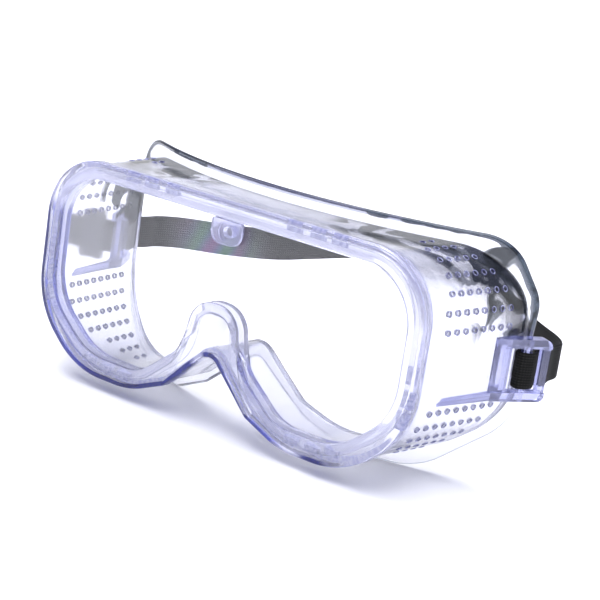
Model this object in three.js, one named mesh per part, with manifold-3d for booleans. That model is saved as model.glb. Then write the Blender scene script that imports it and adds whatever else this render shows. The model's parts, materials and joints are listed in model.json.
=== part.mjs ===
// Direct-vent safety goggles: a soft frame whose rim holds a flat clear lens, a vented shell with a
// face flange and nose bridge behind it, ladder lugs at both temples, and an elastic headband with
// an adjuster slide. Millimetres, +Z up, the lens faces -Y.
import * as THREE from "three";
import { mergeVertices } from "three/addons/utils/BufferGeometryUtils.js";
import Module from "manifold-3d";

const wasm = await Module();
wasm.setup();

// ---- driving dimensions ------------------------------------------------------------------------
const GAP = 0.3; // between neighbouring pieces that touch
const ARC_STEPS = 7; // straight pieces in one rounded corner

const RIM_HALF_WIDTH = 80.5;
const RIM_TOP = 35.3; // above the middle of the lens opening
const RIM_BOTTOM = -39;
const RIM_DEPTH = 6.6;
const RIM_LIP = 6; // width of the lip round the lens opening
const FRONT_LIP = 1.6; // thickness in front of the lens
const NOSE_APEX = -15.8; // sharp top of the nose notch, before it is rounded
const NOSE_HALF_WIDTH = 18.5;
const NOSE_CORNER = -33;

const LENS_THICKNESS = 2;
const LENS_GRIP = 4; // how far the rim overlaps the lens
const LENS_ARCH = 0.9; // top of the lens opening's nose arch
const LENS_ARCH_HALF = 9.5;

const SHELL_STEP = 1.2; // the shell is set in from the rim by this
const SHELL_WALL = 1.6;
const SHELL_FLARE = 0.00165; // widening per millimetre of depth
const SPLIT_BROW = 58; // half width of the straight brow wall
const SPLIT_CHEEK = -17; // height where temple and cheek walls meet
const SPLIT_NOSE = 19.5; // half width of the nose bridge wall

const FACE_RADIUS = 152; // curve of the face edge, seen from above
const FACE_DEPTH = 28; // depth of the face edge at the middle
const FLANGE_THICKNESS = 1.8;
const FLANGE_HALF_WIDTH = RIM_HALF_WIDTH + 7.7;
const FLANGE_TOP = RIM_TOP + 3.5;
const FLANGE_BOTTOM = RIM_BOTTOM - 4;

const BAND_WIDTH = 12.2;
const BAND_THICKNESS = 1.1;
const BAND_CLEARANCE = 0.45;
const LAP_GAP = 0.8; // between the two layers of a lap
const LAP = 5; // the held end and the headband lap by this on each side of that line

const LUG_ANGLE = 60; // degrees back from straight out
const LUG_DEPTH = 43; // where the lug leaves the shell
const SWING_DEPTH = LUG_DEPTH + 22; // depth of the line about which the headband swings
const LUG_MIDDLE = -1.9; // height of the band's centre line
const LUG_STANDOFF = 1.6; // room between the shell and the start of the lug
const LUG_THICKNESS = 2.6;
const LUG_ARM = 3;
const LUG_ARM_THICKNESS = 4.4; // the top and bottom arms stand proud of the bars
const LUG_CORNER = 2.6; // rounding of the lug's outer corners
const LUG_BAR = 2.6;
const INNER_SLOT = 4.8;
const OUTER_SLOT = 4.2;
const LUG_ROOT = 1.4; // solid stretch between the shell and the inner slot
const LUG_PLAY = 1.3; // room above and below the band in the lug
const RIB_FRONT = 15; // where the tapering rib under the lug starts, in depth
const RIB_HEIGHT = 2.4;

const TAB_HALF_WIDTH = 6.2;
const TAB_DROP = 8.4; // how far the tab hangs below the rim's lip
const PEG_RADIUS = 1.9;
const PEG_HEAD = 3;

const SLIDE_LENGTH = 8.5;
const SLIDE_WALL = 1.2;
const SLIDE_RAIL = 2.4; // height of the solid top and bottom rails
const SLIDE_START = 3.2; // gap between the lug and the slide
const SLIDE_TRAVEL = 5;
const TAIL_EXTRA = 1.5; // band showing past the slide's last position

const LENS_FRONT = FRONT_LIP + GAP;
const LENS_BACK = LENS_FRONT + LENS_THICKNESS;
const SHELL_FRONT = RIM_DEPTH + GAP;
const LUG_OPENING = BAND_WIDTH + 2 * LUG_PLAY;

// ---- helpers -----------------------------------------------------------------------------------
function solid(geometry) {
  const plain = geometry.clone();
  plain.deleteAttribute("normal");
  plain.deleteAttribute("uv");
  const merged = mergeVertices(plain, 1e-4);
  return new wasm.Manifold(
    new wasm.Mesh({
      numProp: 3,
      vertProperties: new Float32Array(merged.attributes.position.array),
      triVerts: new Uint32Array(merged.index.array),
    }),
  );
}

function geometryOf(body) {
  const mesh = body.getMesh();
  const geometry = new THREE.BufferGeometry();
  const corners = new THREE.BufferAttribute(new Float32Array(mesh.vertProperties), 3);
  geometry.setAttribute("position", corners);
  geometry.setIndex(new THREE.BufferAttribute(new Uint32Array(mesh.triVerts), 1));
  const flat = geometry.toNonIndexed();
  flat.computeVertexNormals();
  return flat;
}

// A full outline from the corners of its +X half, listed clockwise from the top: [x, z, radius].
function mirrored(half) {
  const left = half
    .filter((corner) => corner[0] > 1e-6)
    .map(([x, z, r]) => [-x, z, r])
    .reverse();
  return [...half, ...left];
}

// Moves every side of an outline inwards by a distance and keeps its rounded corners parallel.
function inset(corners, distance) {
  const count = corners.length;
  return corners.map(([x, z, r], i) => {
    const before = corners[(i + count - 1) % count];
    const after = corners[(i + 1) % count];
    const a = new THREE.Vector2(x - before[0], z - before[1]).normalize();
    const b = new THREE.Vector2(after[0] - x, after[1] - z).normalize();
    const turn = a.x * b.y - a.y * b.x;
    const bisector = new THREE.Vector2(a.y + b.y, -a.x - b.x).normalize();
    const reach = distance / Math.max(0.2, bisector.x * a.y - bisector.y * a.x);
    const radius = turn < 0 ? r - distance : r + distance;
    return [x + bisector.x * reach, z + bisector.y * reach, Math.max(0.4, radius)];
  });
}

// The closed outline with each corner rounded by a circular arc.
function outline(corners) {
  const points = [];
  const count = corners.length;
  corners.forEach(([x, z, r], i) => {
    const here = new THREE.Vector2(x, z);
    const before = new THREE.Vector2(...corners[(i + count - 1) % count].slice(0, 2));
    const after = new THREE.Vector2(...corners[(i + 1) % count].slice(0, 2));
    const a = here.clone().sub(before).normalize();
    const b = after.clone().sub(here).normalize();
    const turn = Math.acos(THREE.MathUtils.clamp(a.dot(b), -1, 1));
    const side = Math.sign(a.x * b.y - a.y * b.x);
    const longest = 0.49 * Math.min(here.distanceTo(before), here.distanceTo(after));
    const cut = Math.min(r * Math.tan(turn / 2), longest);
    const radius = cut / Math.tan(turn / 2);
    const start = here.clone().addScaledVector(a, -cut);
    const centre = start.clone().add(new THREE.Vector2(-a.y, a.x).multiplyScalar(side * radius));
    for (let k = 0; k <= ARC_STEPS; k += 1) {
      points.push(start.clone().rotateAround(centre, (side * turn * k) / ARC_STEPS));
    }
  });
  return points;
}

// A prism of an XZ outline between two depths, pushed wider with depth by the flare.
function prism(points, front, back, flare = 0) {
  const geometry = new THREE.ExtrudeGeometry(new THREE.Shape(points), {
    depth: back - front,
    bevelEnabled: false,
  });
  geometry.rotateX(Math.PI / 2);
  geometry.translate(0, back, 0);
  const position = geometry.attributes.position;
  for (let i = 0; i < position.count; i += 1) {
    const y = position.getY(i);
    position.setX(i, position.getX(i) * (1 + flare * (y - SHELL_FRONT)));
  }
  return solid(geometry);
}

// A vertical prism of an XY outline between two heights.
function upright(points, low, high) {
  const geometry = new THREE.ExtrudeGeometry(new THREE.Shape(points), {
    depth: high - low,
    bevelEnabled: false,
  });
  geometry.translate(0, 0, low);
  return solid(geometry);
}

function block(x, y, z) {
  const geometry = new THREE.BoxGeometry(x[1] - x[0], y[1] - y[0], z[1] - z[0]);
  geometry.translate((x[0] + x[1]) / 2, (y[0] + y[1]) / 2, (z[0] + z[1]) / 2);
  return solid(geometry);
}

// The upright cylinder that the wearer's face follows, grown by an offset towards the lens.
function faceCylinder(offset) {
  const geometry = new THREE.CylinderGeometry(FACE_RADIUS + offset, FACE_RADIUS + offset, 200, 120);
  geometry.rotateX(Math.PI / 2);
  geometry.translate(0, FACE_DEPTH + FACE_RADIUS, 0);
  return solid(geometry);
}

// ---- outlines ----------------------------------------------------------------------------------
const rimOutline = mirrored([
  [RIM_HALF_WIDTH, RIM_TOP, 22],
  [RIM_HALF_WIDTH, RIM_BOTTOM + 18.5, 29],
  [RIM_HALF_WIDTH - 21.5, RIM_BOTTOM, 33],
  [NOSE_HALF_WIDTH + 14.5, RIM_BOTTOM, 34],
  [NOSE_HALF_WIDTH, NOSE_CORNER, 1.5],
  [0, NOSE_APEX, 5],
]);

const openingOutline = mirrored([
  [RIM_HALF_WIDTH - RIM_LIP, RIM_TOP - RIM_LIP, 18],
  [RIM_HALF_WIDTH - RIM_LIP, RIM_BOTTOM + 23.5, 22],
  [RIM_HALF_WIDTH - RIM_LIP - 20, RIM_BOTTOM + 7.4, 24],
  [NOSE_HALF_WIDTH + 11.5, RIM_BOTTOM + 7.4, 16],
  [LENS_ARCH_HALF + 2.2, LENS_ARCH - 18, 14],
  [LENS_ARCH_HALF, LENS_ARCH, 9.5],
]);

const lensOutline = inset(openingOutline, -LENS_GRIP);
const shellOutline = inset(rimOutline, SHELL_STEP);

const flangeOutline = mirrored([
  [FLANGE_HALF_WIDTH - 9.5, FLANGE_TOP, 14],
  [FLANGE_HALF_WIDTH, FLANGE_TOP - 18.8, 16],
  [FLANGE_HALF_WIDTH - 1.7, FLANGE_BOTTOM + 21, 20],
  [FLANGE_HALF_WIDTH - 26, FLANGE_BOTTOM, 22],
  [NOSE_HALF_WIDTH + 17.5, FLANGE_BOTTOM, 10],
  [NOSE_HALF_WIDTH + 3, NOSE_CORNER - 3.5, 3],
  [0, NOSE_APEX - 4, 5],
]);

// ---- frame moulding ----------------------------------------------------------------------------
function makeRim() {
  const body = prism(outline(rimOutline), 0, RIM_DEPTH);
  const opening = prism(outline(openingOutline), -1, RIM_DEPTH + 1);
  const channel = prism(outline(inset(lensOutline, -GAP)), FRONT_LIP, LENS_BACK + GAP);
  return body.subtract(opening).subtract(channel);
}

function makeShell() {
  const back = FACE_DEPTH + 60;
  const outside = prism(outline(shellOutline), SHELL_FRONT, back, SHELL_FLARE);
  const hollow = outline(inset(shellOutline, SHELL_WALL));
  const inside = prism(hollow, SHELL_FRONT - 1, back + 1, SHELL_FLARE);
  return outside.subtract(inside).subtract(faceCylinder(FLANGE_THICKNESS + GAP));
}

// The part of the shell inside a box, so that neighbours keep their gap.
function shellPart(shell, x, z) {
  return shell.intersect(block(x, [-10, 200], z));
}

function makeFlange() {
  const plate = prism(outline(flangeOutline), 0, FACE_DEPTH + 60);
  const hole = outline(inset(shellOutline, SHELL_WALL));
  const opening = prism(hole, -1, FACE_DEPTH + 61, SHELL_FLARE);
  const room = lugRoom();
  return plate
    .intersect(faceCylinder(FLANGE_THICKNESS))
    .subtract(faceCylinder(0))
    .subtract(opening)
    .subtract(room)
    .subtract(room.mirror([1, 0, 0]));
}

// Half width of the shell's outside at a depth.
function shellHalfWidth(depth) {
  return (RIM_HALF_WIDTH - SHELL_STEP) * (1 + SHELL_FLARE * (depth - SHELL_FRONT));
}

const lugOut = Math.cos(THREE.MathUtils.degToRad(LUG_ANGLE));
const lugBack = Math.sin(THREE.MathUtils.degToRad(LUG_ANGLE));
const lugRootX = shellHalfWidth(LUG_DEPTH) + LUG_STANDOFF;

// A point beside the right lug: along it from the shell, and out from its middle plane.
function lugPoint(along, out) {
  return [
    lugRootX + along * lugOut + out * lugBack,
    LUG_DEPTH + along * lugBack - out * lugOut,
  ];
}

function lugPrism(along, out, z) {
  const points = [
    [along[0], out[0]],
    [along[0], out[1]],
    [along[1], out[1]],
    [along[1], out[0]],
  ].map(([s, v]) => new THREE.Vector2(...lugPoint(s, v)));
  return upright(points, z[0], z[1]);
}

// A plate in the lug's own plane from corners [along, z, radius], between two distances out.
function lugPlate(corners, out) {
  const shape = new THREE.Shape(outline(corners));
  const depth = out[1] - out[0];
  const plate = new THREE.ExtrudeGeometry(shape, { depth, bevelEnabled: false });
  const frame = new THREE.Matrix4().makeBasis(
    new THREE.Vector3(lugOut, lugBack, 0),
    new THREE.Vector3(0, 0, 1),
    new THREE.Vector3(lugBack, -lugOut, 0),
  );
  frame.setPosition(...lugPoint(0, out[0]), 0);
  plate.applyMatrix4(frame);
  return solid(plate);
}

const CENTRE_BAR = LUG_ROOT + INNER_SLOT;
const OUTER_BAR = CENTRE_BAR + LUG_BAR + OUTER_SLOT;
const LUG_LENGTH = OUTER_BAR + LUG_BAR;

// The room that the right lug needs, so that the flange is notched where the two would meet.
function lugRoom() {
  const reach = LUG_OPENING / 2 + LUG_ARM + GAP;
  const out = LUG_ARM_THICKNESS / 2 + GAP;
  const corners = [
    [-LUG_STANDOFF, LUG_MIDDLE + reach, 0.4],
    [LUG_LENGTH + GAP, LUG_MIDDLE + reach, 0.4],
    [LUG_LENGTH + GAP, LUG_MIDDLE - reach, 0.4],
    [-LUG_STANDOFF, LUG_MIDDLE - reach, 0.4],
  ];
  return lugPlate(corners, [-out, out]);
}

function makeLug(shellOutside) {
  const half = LUG_THICKNESS / 2;
  const arm = LUG_ARM_THICKNESS / 2;
  const low = LUG_MIDDLE - LUG_OPENING / 2;
  const high = LUG_MIDDLE + LUG_OPENING / 2;
  const root = -LUG_STANDOFF - 3;
  const corners = [
    [root, high + LUG_ARM, 0.4],
    [LUG_LENGTH, high + LUG_ARM, LUG_CORNER],
    [LUG_LENGTH, low - LUG_ARM, LUG_CORNER],
    [root, low - LUG_ARM, 0.4],
  ];
  const between = lugPrism([root - 1, LUG_LENGTH + 1], [-arm - 1, arm + 1], [low, high]);
  const arms = lugPlate(corners, [-arm, arm]).subtract(between);
  let lug = lugPlate(corners, [-half, half]).add(arms);
  const slots = [
    [LUG_ROOT, CENTRE_BAR],
    [CENTRE_BAR + LUG_BAR, OUTER_BAR],
  ];
  for (const slot of slots) {
    lug = lug.subtract(lugPrism(slot, [-half - 1, half + 1], [low, high]));
  }
  const rib = [
    new THREE.Vector2(shellHalfWidth(RIB_FRONT), RIB_FRONT),
    new THREE.Vector2(shellHalfWidth(LUG_DEPTH) + RIB_HEIGHT, LUG_DEPTH),
    new THREE.Vector2(...lugPoint(LUG_ROOT, 0)),
    new THREE.Vector2(shellHalfWidth(LUG_DEPTH) - 2, LUG_DEPTH + 2),
  ];
  lug = lug.add(upright(rib, low - LUG_ARM + 0.2, low - 0.2));
  return lug.subtract(shellOutside);
}

function makeLens() {
  const plate = prism(outline(lensOutline), LENS_FRONT, LENS_BACK);
  const hole = new THREE.CylinderGeometry(PEG_RADIUS + GAP, PEG_RADIUS + GAP, 20, 24);
  hole.translate(0, 0, RIM_TOP - RIM_LIP - TAB_DROP / 2);
  return plate.subtract(solid(hole));
}

// The D-shaped tab that laps over the lens at the brow, with its peg through the lens.
function makeTab() {
  const top = RIM_TOP - RIM_LIP - GAP;
  const low = RIM_TOP - RIM_LIP - TAB_DROP;
  const middle = RIM_TOP - RIM_LIP - TAB_DROP / 2;
  const shape = outline([
    [TAB_HALF_WIDTH, top, 0.6],
    [TAB_HALF_WIDTH, low, 4.6],
    [-TAB_HALF_WIDTH, low, 4.6],
    [-TAB_HALF_WIDTH, top, 0.6],
  ]);
  const dimple = new THREE.CylinderGeometry(PEG_HEAD, PEG_HEAD, 2, 24);
  dimple.translate(0, -0.4, middle);
  const peg = new THREE.CylinderGeometry(PEG_RADIUS, PEG_RADIUS, LENS_BACK + 1.4 - 1, 24);
  peg.translate(0, (LENS_BACK + 1.4 + 1) / 2, middle);
  return prism(shape, 0, FRONT_LIP).subtract(solid(dimple)).add(solid(peg));
}

// ---- headband ----------------------------------------------------------------------------------
// The points of a path without those that lie on the straight line between their neighbours.
function withoutStraights(path) {
  const kept = [path[0]];
  for (let i = 1; i < path.length - 1; i += 1) {
    const last = kept[kept.length - 1];
    const a = path[i].clone().sub(last).normalize();
    const b = path[i + 1].clone().sub(path[i]).normalize();
    if (Math.abs(a.x * b.y - a.y * b.x) > 0.004) {
      kept.push(path[i]);
    }
  }
  kept.push(path[path.length - 1]);
  return kept;
}

// A strip of band standing on edge along an XY path.
function strip(points2d, thickness, width) {
  const path = withoutStraights(points2d);
  const left = [];
  const right = [];
  path.forEach((point, i) => {
    const before = path[Math.max(0, i - 1)];
    const after = path[Math.min(path.length - 1, i + 1)];
    const along = after.clone().sub(before).normalize();
    const side = new THREE.Vector2(-along.y, along.x).multiplyScalar(thickness / 2);
    left.push(point.clone().add(side));
    right.push(point.clone().sub(side));
  });
  const points = [...right, ...left.reverse()];
  return upright(points, LUG_MIDDLE - width / 2, LUG_MIDDLE + width / 2);
}

const bandSide = LUG_THICKNESS / 2 + BAND_CLEARANCE + BAND_THICKNESS / 2;
const barMiddle = CENTRE_BAR + LUG_BAR / 2;
const slotMiddle = OUTER_BAR - OUTER_SLOT / 2;
const HELD_X = lugPoint(LUG_LENGTH, -bandSide)[0] + 0.3;
const LOOSE_X = HELD_X - BAND_THICKNESS - LAP_GAP; // the swinging layer lies inboard

// Out of the inner slot, over the centre bar, and back inside the outer bar.
function heldPath(mirror) {
  const turns = [
    lugPoint(barMiddle - 0.6, -bandSide - 0.1),
    lugPoint(barMiddle - 2.95, -bandSide + 1.4),
    lugPoint(barMiddle - 2.95, bandSide - 1.2),
    lugPoint(barMiddle - 1.4, bandSide),
    lugPoint(barMiddle + 1.4, bandSide),
    lugPoint(slotMiddle - 0.4, 0.4),
    lugPoint(OUTER_BAR - 0.2, -bandSide + 0.1),
    lugPoint(LUG_LENGTH, -bandSide),
    [HELD_X, SWING_DEPTH - LAP],
    [HELD_X, SWING_DEPTH],
    [HELD_X, SWING_DEPTH + LAP],
  ];
  const points = turns.map(([x, y]) => new THREE.Vector2(x * mirror, y));
  return new THREE.SplineCurve(points).getPoints(40);
}

// The headband's drape behind the frame, from the right lap to the left one.
function bandPath() {
  const lap = [-LAP, 0, LAP, LAP + 2].map((step) => [LOOSE_X, SWING_DEPTH + step]);
  const drape = [
    [LOOSE_X - 5.5, SWING_DEPTH + 13],
    [LOOSE_X - 17, SWING_DEPTH + 22],
    [LOOSE_X - 36, SWING_DEPTH + 38],
    [LOOSE_X - 55, SWING_DEPTH + 60],
    [16, SWING_DEPTH + 84],
    [-10, SWING_DEPTH + 96],
    [-32, SWING_DEPTH + 94],
    [-46, SWING_DEPTH + 78],
    [-52, SWING_DEPTH + 58],
    [-57, SWING_DEPTH + 40],
    [-69, SWING_DEPTH + 25],
    [-LOOSE_X + 6, SWING_DEPTH + 14],
  ];
  const end = lap.slice(0, 3).reverse().map(([x, y]) => [-x, y]);
  const points = [...lap, ...drape, ...end].map((point) => new THREE.Vector2(...point));
  return new THREE.SplineCurve(points).getPoints(110);
}

// The band's free end on the -X side, standing out of the lug's inner slot through the slide.
const tailRoot = lugPoint(CENTRE_BAR - 1.9, bandSide + 0.9);
const tailEnd = SLIDE_START + SLIDE_LENGTH + SLIDE_TRAVEL + TAIL_EXTRA;

function tailPrism(along, out, z) {
  const points = [
    [along[0], out[0]],
    [along[0], out[1]],
    [along[1], out[1]],
    [along[1], out[0]],
  ].map(([s, v]) => {
    const x = tailRoot[0] + s * lugBack + v * lugOut;
    const y = tailRoot[1] - s * lugOut + v * lugBack;
    return new THREE.Vector2(-x, y);
  });
  return upright(points.reverse(), z[0], z[1]);
}

function makeTail() {
  const half = BAND_WIDTH / 2;
  const z = [LUG_MIDDLE - half, LUG_MIDDLE + half];
  return tailPrism([0, tailEnd], [-BAND_THICKNESS / 2, BAND_THICKNESS / 2], z);
}

// A sleeve with rails at top and bottom, and three bars on each side of the band.
function makeSlide() {
  const inner = BAND_THICKNESS / 2 + BAND_CLEARANCE;
  const tall = BAND_WIDTH / 2 + BAND_CLEARANCE;
  const s = [SLIDE_START, SLIDE_START + SLIDE_LENGTH];
  const half = tall + SLIDE_RAIL;
  const body = tailPrism(s, [-inner - SLIDE_WALL, inner + SLIDE_WALL], [
    LUG_MIDDLE - half,
    LUG_MIDDLE + half,
  ]);
  const bore = tailPrism([s[0] - 1, s[1] + 1], [-inner, inner], [
    LUG_MIDDLE - tall,
    LUG_MIDDLE + tall,
  ]);
  let slide = body.subtract(bore);
  const bar = SLIDE_LENGTH / 5;
  for (const k of [1, 3]) {
    const from = s[0] + k * bar;
    const window = tailPrism([from, from + bar], [inner - 0.2, inner + SLIDE_WALL + 1], [
      LUG_MIDDLE - tall,
      LUG_MIDDLE + tall,
    ]);
    slide = slide.subtract(window);
  }
  const pitch = (2 * half) / 9;
  for (let k = 0; k < 9; k += 2) {
    const z = LUG_MIDDLE - half + pitch * k;
    const notch = [s[1] - 0.5, s[1] + 1];
    const reach = inner + SLIDE_WALL + 1;
    slide = slide.subtract(tailPrism(notch, [-reach, reach], [z + 0.4, z + pitch - 0.4]));
  }
  return slide;
}

// ---- assembly ----------------------------------------------------------------------------------
const softClear = new THREE.MeshStandardMaterial({ color: 0xc9cdf0, roughness: 0.12, metalness: 0 });
softClear.transparent = true;
softClear.opacity = 0.4;
const hardClear = new THREE.MeshStandardMaterial({ color: 0xf4f6ff, roughness: 0.04, metalness: 0 });
hardClear.transparent = true;
hardClear.opacity = 0.2;
const webbing = new THREE.MeshStandardMaterial({ color: 0x111214, roughness: 0.85, metalness: 0 });
const plastic = new THREE.MeshStandardMaterial({ color: 0x1b1c20, roughness: 0.45, metalness: 0 });

const goggles = new THREE.Group();
const assembly = new THREE.Group();
goggles.add(assembly);

function addPiece(name, body, material) {
  const mesh = new THREE.Mesh(geometryOf(body), material.clone());
  mesh.name = name;
  assembly.add(mesh);
}

function mirrorX(body) {
  return body.mirror([1, 0, 0]);
}

const shell = makeShell();
const temple = [SPLIT_BROW + GAP / 2, 200];
const cheek = [SPLIT_NOSE + GAP / 2, 200];
const upper = [SPLIT_CHEEK + GAP / 2, 200];
const lower = [-200, SPLIT_CHEEK - GAP / 2];
const flip = ([a, b]) => [-b, -a];
addPiece("rim", makeRim(), softClear);
addPiece("shell_brow", shellPart(shell, [-SPLIT_BROW + GAP / 2, SPLIT_BROW - GAP / 2], [0, 200]), softClear);
addPiece("shell_temple_right", shellPart(shell, temple, upper), softClear);
addPiece("shell_temple_left", shellPart(shell, flip(temple), upper), softClear);
addPiece("shell_cheek_right", shellPart(shell, cheek, lower), softClear);
addPiece("shell_cheek_left", shellPart(shell, flip(cheek), lower), softClear);
const bridge = [-SPLIT_NOSE + GAP / 2, SPLIT_NOSE - GAP / 2];
addPiece("nose_bridge", shellPart(shell, bridge, [-200, 0]), softClear);
addPiece("face_flange", makeFlange(), softClear);

const grown = outline(inset(shellOutline, -GAP));
const shellOutside = prism(grown, SHELL_FRONT - 10, FACE_DEPTH + 60, SHELL_FLARE);
const lug = makeLug(shellOutside);
addPiece("strap_lug_right", lug, softClear);
addPiece("strap_lug_left", mirrorX(lug), softClear);

addPiece("lens", makeLens(), hardClear);
addPiece("lens_tab", makeTab(), softClear);

const held = strip(heldPath(1), BAND_THICKNESS, BAND_WIDTH);
addPiece("band_end_right", held, webbing);
addPiece("band_end_left", mirrorX(held), webbing);
addPiece("band_tail", makeTail(), webbing);
addPiece("headband", strip(bandPath(), BAND_THICKNESS, BAND_WIDTH), webbing);
addPiece("adjuster_slide", makeSlide(), plastic);

// The origin is the middle of the footprint, at the lowest point.
const box = new THREE.Box3().setFromObject(assembly);
assembly.position.set(-(box.min.x + box.max.x) / 2, -(box.min.y + box.max.y) / 2, -box.min.z);

export default goggles;
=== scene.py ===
"""Looks of a pair of direct-vent safety goggles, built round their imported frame."""

from __future__ import annotations

import json
import logging
import math
from dataclasses import dataclass
from enum import Enum
from typing import Iterable, Sequence

import bmesh
import bpy
from mathutils import Matrix, Vector

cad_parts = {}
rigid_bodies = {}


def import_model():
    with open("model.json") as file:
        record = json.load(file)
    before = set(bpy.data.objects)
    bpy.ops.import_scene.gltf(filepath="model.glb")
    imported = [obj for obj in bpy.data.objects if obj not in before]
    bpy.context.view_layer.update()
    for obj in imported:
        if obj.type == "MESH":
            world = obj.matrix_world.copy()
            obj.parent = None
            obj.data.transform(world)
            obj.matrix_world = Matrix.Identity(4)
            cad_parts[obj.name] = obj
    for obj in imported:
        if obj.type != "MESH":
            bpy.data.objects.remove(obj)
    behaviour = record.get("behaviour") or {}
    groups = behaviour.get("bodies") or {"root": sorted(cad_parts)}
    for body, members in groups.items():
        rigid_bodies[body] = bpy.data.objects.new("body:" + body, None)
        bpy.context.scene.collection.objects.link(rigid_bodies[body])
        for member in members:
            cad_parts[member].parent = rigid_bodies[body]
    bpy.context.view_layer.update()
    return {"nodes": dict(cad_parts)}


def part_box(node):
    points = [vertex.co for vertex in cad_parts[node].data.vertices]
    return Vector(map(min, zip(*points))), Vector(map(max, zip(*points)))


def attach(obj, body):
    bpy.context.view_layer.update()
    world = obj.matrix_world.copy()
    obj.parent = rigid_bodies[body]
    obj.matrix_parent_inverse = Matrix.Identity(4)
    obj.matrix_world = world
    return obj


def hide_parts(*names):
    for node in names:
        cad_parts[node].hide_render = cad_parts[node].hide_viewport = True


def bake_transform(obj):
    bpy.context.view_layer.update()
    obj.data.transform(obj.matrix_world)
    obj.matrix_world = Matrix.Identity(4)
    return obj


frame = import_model()

MM = 0.001
SAME_POINT = 2e-6  # corners nearer than this are one, in metres
FLAT_FOLD = math.radians(2.0)  # faces that meet at less are one flat face
SHARP_FOLD = math.radians(35.0)  # edges that fold more get rounded
PLAIN_TINT = 0.25  # edge tint of a solid piece away from its edges
LOG = logging.getLogger("goggles")


class Side(Enum):
    """The wearer's two temples, as the sign of X."""

    RIGHT = 1
    LEFT = -1


class Body(Enum):
    """The moving bodies of the goggles."""

    FRAME = "frame"
    BAND = "headband"
    SLIDE = "slide"


class Slot(Enum):
    """The record's material slots."""

    VINYL = "frame_pvc"
    LENS = "lens_clear"
    WEBBING = "webbing"
    PLASTIC = "slide_plastic"


# ---- node trees --------------------------------------------------------------------------------
class Tree:
    """A node tree with one way of adding any node."""

    def __init__(self, nodes: bpy.types.NodeTree) -> None:
        """Wraps a tree.

        Args:
            nodes: The shader or geometry tree to fill.
        """
        self.tree = nodes

    def add(self, kind: str, settings: dict | None = None, inputs: dict | None = None) -> bpy.types.Node:
        """Adds a node.

        Args:
            kind: The node's type name.
            settings: Properties set first, such as an operation.
            inputs: Socket name or index to a value, a socket or a Value.

        Returns:
            The new node.
        """
        node = self.tree.nodes.new(kind)
        for name, value in (settings or {}).items():
            setattr(node, name, value)
        for key, value in (inputs or {}).items():
            self.feed(node.inputs[key], value)
        return node

    def feed(self, socket: bpy.types.NodeSocket, value: object) -> None:
        """Links a socket to another socket or a Value, or sets its constant.

        Args:
            socket: The input to feed.
            value: What it gets.
        """
        if isinstance(value, Value):
            value = value.socket
        if isinstance(value, bpy.types.NodeSocket):
            self.tree.links.new(value, socket)
        else:
            socket.default_value = value


class Value:
    """A number socket whose arithmetic adds Math nodes."""

    def __init__(self, tree: Tree, socket: bpy.types.NodeSocket) -> None:
        """Wraps a socket of a tree.

        Args:
            tree: The tree that holds the socket.
            socket: The output to calculate with.
        """
        self.tree = tree
        self.socket = socket

    def _math(self, operation: str, first: object, second: object, clamp: bool = False) -> "Value":
        """One Math node on two operands.

        Args:
            operation: Blender's name of the operation.
            first: Left operand.
            second: Right operand.
            clamp: Whether the result stays between 0 and 1.

        Returns:
            The result.
        """
        node = self.tree.add(
            "ShaderNodeMath", {"operation": operation, "use_clamp": clamp}, {0: first, 1: second}
        )
        return Value(self.tree, node.outputs[0])

    def __add__(self, other: object) -> "Value":
        """Sum."""
        return self._math("ADD", self, other)

    __radd__ = __add__

    def __mul__(self, other: object) -> "Value":
        """Product."""
        return self._math("MULTIPLY", self, other)

    __rmul__ = __mul__

    def __sub__(self, other: object) -> "Value":
        """Difference."""
        return self._math("SUBTRACT", self, other)

    def __rsub__(self, other: object) -> "Value":
        """Difference from a number."""
        return self._math("SUBTRACT", other, self)

    def __truediv__(self, other: object) -> "Value":
        """Quotient."""
        return self._math("DIVIDE", self, other)

    def __pow__(self, other: object) -> "Value":
        """Power."""
        return self._math("POWER", self, other)

    def clamped(self) -> "Value":
        """The value held between 0 and 1."""
        return self._math("ADD", self, 0.0, clamp=True)

    def sine(self) -> "Value":
        """Sine of the value in radians."""
        return self._math("SINE", self, 0.0)

    def ramp(self, low: float, high: float) -> "Value":
        """A smooth step from 0 to 1.

        Args:
            low: Where it starts to rise.
            high: Where it reaches 1.

        Returns:
            The eased value.
        """
        node = self.tree.add(
            "ShaderNodeMapRange",
            {"interpolation_type": "SMOOTHSTEP"},
            {"Value": self, "From Min": low, "From Max": high},
        )
        return Value(self.tree, node.outputs["Result"])


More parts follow.
